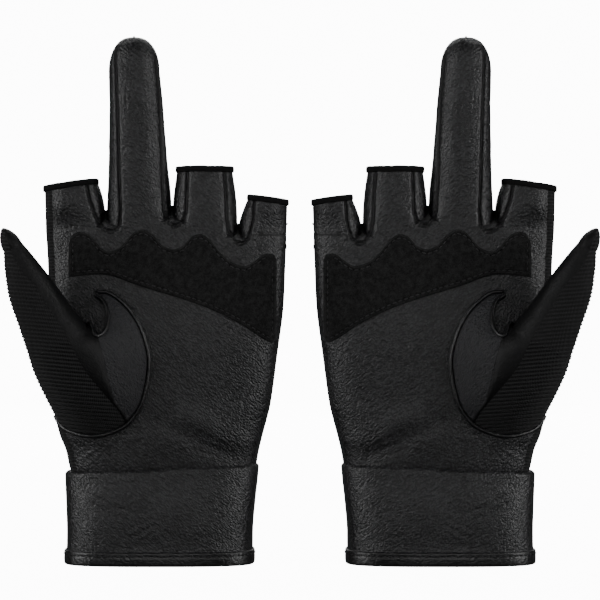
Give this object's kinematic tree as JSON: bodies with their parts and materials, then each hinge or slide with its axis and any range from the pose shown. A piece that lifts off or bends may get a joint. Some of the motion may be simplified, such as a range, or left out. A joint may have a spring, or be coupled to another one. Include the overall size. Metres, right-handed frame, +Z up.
{
  "type": "fingerless gloves",
  "caption": "Pair of leather and knit gloves with an open index, ring and little finger, a full middle finger and thumb, and a suede palm patch.",
  "frame": {"origin": "centre of the pair, on the surface that the cuff hems stand on", "axes": "+X across the pair from the left glove to the right glove, +Y from palm to back, +Z up from cuff to fingertips"},
  "size_m": [0.261, 0.063, 0.236],
  "materials": {
    "grained_leather": "satin",
    "smooth_leather": "satin",
    "suede": "matte",
    "ribbed_knit": "matte",
    "edge_tape": "matte"
  },
  "bodies": {
    "left_cuff": {"left_cuff_front": "grained_leather", "left_cuff_back": "grained_leather", "left_cuff_hem": "smooth_leather"},
    "left_hand": {"left_palm_panel": "grained_leather", "left_suede_patch": "suede", "left_back_panel": "ribbed_knit", "left_thumb_gusset": "grained_leather", "left_gusset_piping": "smooth_leather", "left_thumb_base_strip": "grained_leather", "left_thumb_base_knit": "ribbed_knit", "left_crotch_webs": "grained_leather"},
    "left_index": {"left_index_front": "grained_leather", "left_index_back": "ribbed_knit", "left_index_binding": "edge_tape"},
    "left_middle": {"left_middle_front": "grained_leather", "left_middle_back": "ribbed_knit"},
    "left_middle_mid": {"left_middle_mid_front": "grained_leather", "left_middle_mid_back": "ribbed_knit"},
    "left_middle_tip": {"left_middle_tip_front": "grained_leather", "left_middle_tip_back": "ribbed_knit"},
    "left_ring": {"left_ring_front": "grained_leather", "left_ring_back": "ribbed_knit", "left_ring_binding": "edge_tape"},
    "left_little": {"left_little_front": "grained_leather", "left_little_back": "ribbed_knit", "left_little_binding": "edge_tape"},
    "left_thumb": {"left_thumb_strip": "grained_leather", "left_thumb_knit": "ribbed_knit"},
    "left_thumb_tip": {"left_thumb_tip_strip": "grained_leather", "left_thumb_tip_knit": "ribbed_knit"},
    "right_cuff": {"right_cuff_front": "grained_leather", "right_cuff_back": "grained_leather", "right_cuff_hem": "smooth_leather"},
    "right_hand": {"right_palm_panel": "grained_leather", "right_suede_patch": "suede", "right_back_panel": "ribbed_knit", "right_thumb_gusset": "grained_leather", "right_gusset_piping": "smooth_leather", "right_thumb_base_strip": "grained_leather", "right_thumb_base_knit": "ribbed_knit", "right_crotch_webs": "grained_leather"},
    "right_index": {"right_index_front": "grained_leather", "right_index_back": "ribbed_knit", "right_index_binding": "edge_tape"},
    "right_middle": {"right_middle_front": "grained_leather", "right_middle_back": "ribbed_knit"},
    "right_middle_mid": {"right_middle_mid_front": "grained_leather", "right_middle_mid_back": "ribbed_knit"},
    "right_middle_tip": {"right_middle_tip_front": "grained_leather", "right_middle_tip_back": "ribbed_knit"},
    "right_ring": {"right_ring_front": "grained_leather", "right_ring_back": "ribbed_knit", "right_ring_binding": "edge_tape"},
    "right_little": {"right_little_front": "grained_leather", "right_little_back": "ribbed_knit", "right_little_binding": "edge_tape"},
    "right_thumb": {"right_thumb_strip": "grained_leather", "right_thumb_knit": "ribbed_knit"},
    "right_thumb_tip": {"right_thumb_tip_strip": "grained_leather", "right_thumb_tip_knit": "ribbed_knit"}
  },
  "joints": [
    {"name": "pair_apart", "type": "slide", "parent": "left_cuff", "child": "right_cuff", "axis": [1, 0, 0], "range_m": [0, 0.15]},
    {"name": "left_wrist_bend", "type": "hinge", "parent": "left_cuff", "child": "left_hand", "pos_m": [-0.062, 0.0085, 0.0425], "axis": [1, 0, 0], "range_deg": [-20, 20]},
    {"name": "left_index_knuckle", "type": "hinge", "parent": "left_hand", "child": "left_index", "pos_m": [-0.101, -0.0043, 0.1505], "axis": [1, 0, 0], "range_deg": [0, 60]},
    {"name": "left_middle_knuckle", "type": "hinge", "parent": "left_hand", "child": "left_middle", "pos_m": [-0.0724, -0.0043, 0.1505], "axis": [1, 0, 0], "range_deg": [0, 65]},
    {"name": "left_middle_joint", "type": "hinge", "parent": "left_middle", "child": "left_middle_mid", "pos_m": [-0.0731, -0.0043, 0.1845], "axis": [1, 0, 0], "range_deg": [0, 80]},
    {"name": "left_middle_end_joint", "type": "hinge", "parent": "left_middle_mid", "child": "left_middle_tip", "pos_m": [-0.0738, -0.0043, 0.209], "axis": [1, 0, 0], "range_deg": [0, 52]},
    {"name": "left_ring_knuckle", "type": "hinge", "parent": "left_hand", "child": "left_ring", "pos_m": [-0.0427, -0.0043, 0.1505], "axis": [1, 0, 0], "range_deg": [0, 60]},
    {"name": "left_little_knuckle", "type": "hinge", "parent": "left_hand", "child": "left_little", "pos_m": [-0.0169, -0.0043, 0.1505], "axis": [1, 0, 0], "range_deg": [0, 60]},
    {"name": "left_thumb_foot", "type": "hinge", "parent": "left_hand", "child": "left_thumb", "pos_m": [-0.09049, -0.0175, 0.10808], "axis": [-0.0692, 0.9884, 0.1349], "range_deg": [0, 22]},
    {"name": "left_thumb_joint", "type": "hinge", "parent": "left_thumb", "child": "left_thumb_tip", "pos_m": [-0.10558, -0.02135, 0.12855], "axis": [-0.0692, 0.9884, 0.1349], "range_deg": [0, 40]},
    {"name": "right_wrist_bend", "type": "hinge", "parent": "right_cuff", "child": "right_hand", "pos_m": [0.062, 0.0085, 0.0425], "axis": [1, 0, 0], "range_deg": [-20, 20]},
    {"name": "right_index_knuckle", "type": "hinge", "parent": "right_hand", "child": "right_index", "pos_m": [0.101, -0.0043, 0.1505], "axis": [1, 0, 0], "range_deg": [0, 60]},
    {"name": "right_middle_knuckle", "type": "hinge", "parent": "right_hand", "child": "right_middle", "pos_m": [0.0724, -0.0043, 0.1505], "axis": [1, 0, 0], "range_deg": [0, 65]},
    {"name": "right_middle_joint", "type": "hinge", "parent": "right_middle", "child": "right_middle_mid", "pos_m": [0.0731, -0.0043, 0.1845], "axis": [1, 0, 0], "range_deg": [0, 80]},
    {"name": "right_middle_end_joint", "type": "hinge", "parent": "right_middle_mid", "child": "right_middle_tip", "pos_m": [0.0738, -0.0043, 0.209], "axis": [1, 0, 0], "range_deg": [0, 52]},
    {"name": "right_ring_knuckle", "type": "hinge", "parent": "right_hand", "child": "right_ring", "pos_m": [0.0427, -0.0043, 0.1505], "axis": [1, 0, 0], "range_deg": [0, 60]},
    {"name": "right_little_knuckle", "type": "hinge", "parent": "right_hand", "child": "right_little", "pos_m": [0.0169, -0.0043, 0.1505], "axis": [1, 0, 0], "range_deg": [0, 60]},
    {"name": "right_thumb_foot", "type": "hinge", "parent": "right_hand", "child": "right_thumb", "pos_m": [0.09049, -0.0175, 0.10808], "axis": [-0.0692, -0.9884, -0.1349], "range_deg": [0, 22]},
    {"name": "right_thumb_joint", "type": "hinge", "parent": "right_thumb", "child": "right_thumb_tip", "pos_m": [0.10558, -0.02135, 0.12855], "axis": [-0.0692, -0.9884, -0.1349], "range_deg": [0, 40]}
  ]
}
